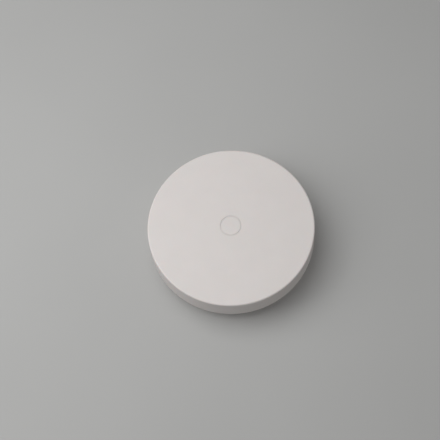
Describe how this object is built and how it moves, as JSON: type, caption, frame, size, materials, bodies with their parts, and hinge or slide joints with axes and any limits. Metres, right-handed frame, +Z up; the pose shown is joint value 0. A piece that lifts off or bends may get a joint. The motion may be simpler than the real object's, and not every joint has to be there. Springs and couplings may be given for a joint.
{
  "type": "wireless switch button",
  "caption": "Round wireless switch: a flat press cap on a tapered base, with a coin cell under a screw cover and an adhesive ring to stick it down.",
  "frame": {"origin": "centre of the adhesive ring's lower face, on the button's round axis, where it meets the surface it is stuck to", "axes": "+Z up through the press cap, along the press direction reversed; +Y to the back, where the reset pinhole and the indicator window are; the picture's camera is on the -Y side"},
  "size_m": [0.05, 0.05, 0.013],
  "materials": {
    "cap_plastic": "fine satin moulding, pale warm grey",
    "deck_plastic": "plain moulding",
    "base_plastic": "fine spark-eroded texture",
    "cover_plastic": "fine spark-eroded texture",
    "tape_foam": "closed-cell foam with clear adhesive",
    "cushion_foam": "open foam",
    "screw_steel": "zinc plated",
    "cell_steel": "nickel plated, circular brushing",
    "cell_seal": "nylon",
    "cell_mass": "pressed powder",
    "contact_metal": "nickel-plated spring bronze",
    "board_laminate": "green solder mask on glass laminate",
    "gold_pads": "gold flash",
    "tin_ends": "tin plated",
    "chip_black": "moulded epoxy",
    "capacitor_ceramic": "fired, unglazed",
    "coil_ceramic": "fired, unglazed",
    "resistor_black": "printed glaze",
    "crystal_ceramic": "fired, unglazed",
    "tank_yellow": "moulded epoxy",
    "lamp_white": "moulded",
    "lamp_clear": "clear epoxy",
    "guide_clear": "polished acrylic",
    "switch_black": "glass-filled nylon",
    "plunger_white": "moulded acetal",
    "dome_steel": "silver-plated spring steel"
  },
  "bodies": {
    "housing": {"deck_frame": "deck_plastic", "base_shell": "base_plastic", "adhesive_ring": "tape_foam", "housing_screws": "screw_steel", "negative_contact": "contact_metal", "positive_contacts": "contact_metal", "circuit_board": "board_laminate", "board_pads": "gold_pads", "printed_antenna": "gold_pads", "radio_chip": "chip_black", "crystal_body": "crystal_ceramic", "crystal_lid": "tin_ends", "memory_chip": "chip_black", "memory_chip_legs": "tin_ends", "tank_capacitor": "tank_yellow", "chip_capacitors": "capacitor_ceramic", "chip_resistors": "resistor_black", "antenna_coils": "coil_ceramic", "chip_end_caps": "tin_ends", "indicator_lamp": "lamp_white", "indicator_lens": "lamp_clear", "light_guide": "guide_clear", "main_switch_body": "switch_black", "main_switch_frame": "contact_metal", "main_switch_dome": "dome_steel", "main_switch_terminals": "tin_ends", "reset_switch_body": "switch_black", "reset_switch_frame": "contact_metal", "reset_switch_dome": "dome_steel", "reset_switch_terminals": "tin_ends"},
    "press_cap": {"press_cap": "cap_plastic"},
    "main_plunger": {"main_switch_plunger": "plunger_white"},
    "reset_plunger": {"reset_switch_plunger": "plunger_white"},
    "cell": {"cell_can": "cell_steel", "cell_gasket": "cell_seal", "cell_cap": "cell_steel", "cell_core": "cell_mass"},
    "battery_cover": {"battery_cover": "cover_plastic", "battery_cushion": "cushion_foam"}
  },
  "joints": [
    {"name": "press_cap_travel", "type": "slide", "parent": "housing", "child": "press_cap", "axis": [0, 0, -1], "range_m": [0, 0.0003], "stiffness_N_per_m": 4000, "springref_m": -0.0001},
    {"name": "main_plunger_travel", "type": "slide", "parent": "housing", "child": "main_plunger", "axis": [0, 0, -1], "range_m": [0, 0.0003], "deforming": ["main_switch_dome"]},
    {"name": "reset_press", "type": "slide", "parent": "housing", "child": "reset_plunger", "axis": [0, -1, 0], "range_m": [0, 0.00025], "stiffness_N_per_m": 4800, "springref_m": -0.0001, "deforming": ["reset_switch_dome"]},
    {"name": "cell_drop", "type": "slide", "parent": "housing", "child": "cell", "axis": [0, 0, -1], "range_m": [0, 0.00667]},
    {"name": "cover_turn", "type": "hinge", "parent": "cell", "child": "battery_cover", "pos_m": [0, 0, 0], "axis": [0, 0, -1], "range_deg": [0, 300]}
  ],
  "couplings": [
    {"joint": "main_plunger_travel", "follows": "press_cap_travel", "ratio": 1},
    {"joint": "cell_drop", "follows": "cover_turn", "m_per_rad": 0.0012732}
  ]
}
